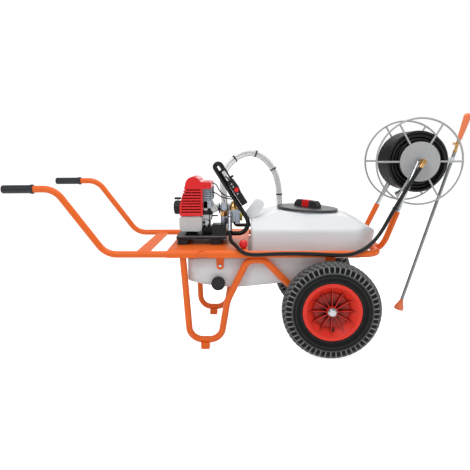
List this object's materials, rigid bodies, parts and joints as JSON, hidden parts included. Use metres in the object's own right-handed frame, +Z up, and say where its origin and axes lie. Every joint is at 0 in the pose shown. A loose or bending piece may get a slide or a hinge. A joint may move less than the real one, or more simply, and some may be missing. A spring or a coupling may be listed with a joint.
{
  "type": "wheelbarrow motor sprayer",
  "caption": "Wheelbarrow sprayer: tubular frame, hipped liquid tank, small petrol engine driving a pump, hose reel on a yoke, and a lance held upright in front.",
  "frame": {"origin": "middle of the bounding box at ground level, under the wheels and feet", "axes": "+X from the handles towards the reel and lance, +Y to the side of the lance, +Z up"},
  "size_m": [2.038, 0.7366, 1.002],
  "materials": {
    "orange_frame_paint": "powder-coated steel tube and sheet",
    "handle_rubber": "moulded grip rubber",
    "bright_zinc": "zinc-plated steel",
    "galvanised_tube": "galvanised steel",
    "reel_grey": "grey coated steel rod and disc",
    "tyre_rubber": "lugged tyre rubber",
    "red_rim_plastic": "moulded wheel centre",
    "tank_white": "rotation-moulded translucent white polyethylene",
    "lid_black": "moulded black plastic",
    "seal_rubber": "moulded seal rubber",
    "base_black": "black coated folded steel",
    "cast_aluminium": "die-cast aluminium",
    "shroud_red": "moulded gloss plastic",
    "black_plastic": "moulded black plastic",
    "fuel_white": "blow-moulded translucent plastic",
    "brass_fitting": "turned and forged brass",
    "grey_ferrule": "crimped plated steel",
    "yellow_knob": "moulded yellow plastic",
    "clear_hose": "braided translucent hose",
    "black_hose": "smooth black hose rubber",
    "rope_fibre": "braided starter cord",
    "orange_plastic": "moulded orange plastic"
  },
  "bodies": {
    "frame": {"axle": "bright_zinc", "axle_carrier": "orange_frame_paint", "control_cables": "black_hose", "control_tube": "base_black", "crankcase": "cast_aluminium", "cylinder": "cast_aluminium", "delivery_hose": "black_hose", "drain_outlet": "lid_black", "engine_base": "base_black", "engine_platform": "orange_frame_paint", "engine_shroud": "shroud_red", "frame_fasteners": "bright_zinc", "front_cross_tube": "orange_frame_paint", "fuel_tank": "fuel_white", "handle_brace": "orange_frame_paint", "handle_grips": "handle_rubber", "hose_ties": "black_plastic", "lance_tube": "bright_zinc", "lance_valve": "brass_fitting", "leg_far": "orange_frame_paint", "leg_near": "orange_frame_paint", "lid_seal": "seal_rubber", "outlet_fitting": "grey_ferrule", "pump_body": "cast_aluminium", "pump_head": "brass_fitting", "rail_far": "orange_frame_paint", "rail_near": "orange_frame_paint", "recoil_case": "black_plastic", "reel_arms": "galvanised_tube", "reel_yoke": "orange_frame_paint", "rubber_mounts": "seal_rubber", "starter_rope": "rope_fibre", "strainer_bowl": "tank_white", "suction_pipe": "lid_black", "swivel_fitting": "brass_fitting", "tank": "tank_white", "tank_hoses": "clear_hose", "tank_straps": "orange_frame_paint", "tap_body": "black_plastic", "throttle_grip": "black_plastic"},
    "wheel_near": {"tyre_near": "tyre_rubber", "wheel_centre_near": "red_rim_plastic", "bearings_near": "bright_zinc"},
    "wheel_far": {"tyre_far": "tyre_rubber", "wheel_centre_far": "red_rim_plastic", "bearings_far": "bright_zinc"},
    "reel": {"reel": "reel_grey", "hose_pack": "black_hose"},
    "lid": {"tank_lid": "lid_black"},
    "lid_handle": {"lid_handle": "lid_black"},
    "drain_cap": {"drain_cap": "lid_black"},
    "fuel_cap": {"fuel_cap": "black_plastic"},
    "starter_grip": {"starter_grip": "black_plastic"},
    "regulator_knob": {"regulator_knob": "yellow_knob"},
    "throttle_trigger": {"throttle_trigger": "black_plastic"},
    "throttle_lock": {"throttle_lock": "black_plastic"},
    "stop_button": {"stop_button": "shroud_red"},
    "tap_knob": {"tap_knob": "shroud_red"},
    "lance_grip": {"lance_grip": "orange_plastic"},
    "lance_nozzle": {"lance_nozzle": "orange_plastic"}
  },
  "joints": [
    {"name": "wheel_near_spin", "type": "hinge", "parent": "frame", "child": "wheel_near", "pos_m": [0.313, -0.325, 0.2], "axis": [0, 1, 0], "continuous": true},
    {"name": "wheel_far_spin", "type": "hinge", "parent": "frame", "child": "wheel_far", "pos_m": [0.313, 0.325, 0.2], "axis": [0, 1, 0], "continuous": true},
    {"name": "reel_spin", "type": "hinge", "parent": "frame", "child": "reel", "pos_m": [0.705, 0, 0.785], "axis": [0, 1, 0], "continuous": true},
    {"name": "lid_lift", "type": "slide", "parent": "frame", "child": "lid", "axis": [0.0576, 0, 0.9983], "range_m": [0, 0.12]},
    {"name": "lid_handle_turn", "type": "hinge", "parent": "lid", "child": "lid_handle", "pos_m": [0.245, 0, 0.57], "axis": [0.0576, 0, 0.9983], "range_deg": [0, 90]},
    {"name": "drain_cap_turn", "type": "hinge", "parent": "frame", "child": "drain_cap", "pos_m": [-0.148, -0.27, 0.293], "axis": [0, -1, 0], "range_deg": [0, 270]},
    {"name": "fuel_cap_turn", "type": "hinge", "parent": "frame", "child": "fuel_cap", "pos_m": [-0.275, 0.005, 0.53], "axis": [0, 1, 0], "range_deg": [0, 180]},
    {"name": "starter_pull", "type": "slide", "parent": "frame", "child": "starter_grip", "axis": [0, 0, 1], "range_m": [0, 0.6], "stiffness_N_per_m": 12, "springref_m": -0.25, "deforming": ["starter_rope"]},
    {"name": "regulator_turn", "type": "hinge", "parent": "frame", "child": "regulator_knob", "pos_m": [-0.061, -0.072, 0.5495], "axis": [1, 0, 0], "range_deg": [0, 300]},
    {"name": "throttle_squeeze", "type": "hinge", "parent": "frame", "child": "throttle_trigger", "pos_m": [-0.10543, -0.158, 0.71938], "axis": [0, 1, 0], "range_deg": [0, 12], "stiffness_Nm_per_rad": 0.4, "springref_deg": -11.46},
    {"name": "stop_press", "type": "slide", "parent": "frame", "child": "stop_button", "axis": [0, 1, 0], "range_m": [0, 0.003], "stiffness_N_per_m": 500, "springref_m": -0.002},
    {"name": "lock_press", "type": "slide", "parent": "frame", "child": "throttle_lock", "axis": [-0.848, 0, -0.5299], "range_m": [0, 0.004], "stiffness_N_per_m": 500, "springref_m": -0.002},
    {"name": "tap_turn", "type": "hinge", "parent": "frame", "child": "tap_knob", "pos_m": [-0.042, -0.246, 0.458], "axis": [0, -1, 0], "range_deg": [0, 90]},
    {"name": "lance_twist", "type": "hinge", "parent": "frame", "child": "lance_grip", "pos_m": [1.002, 0.158, 0.985], "axis": [0.284, 0, 0.9588], "range_deg": [0, 90]},
    {"name": "nozzle_turn", "type": "hinge", "parent": "frame", "child": "lance_nozzle", "pos_m": [0.73219, 0.158, 0.07412], "axis": [0.284, 0, 0.9588], "range_deg": [0, 180]}
  ]
}
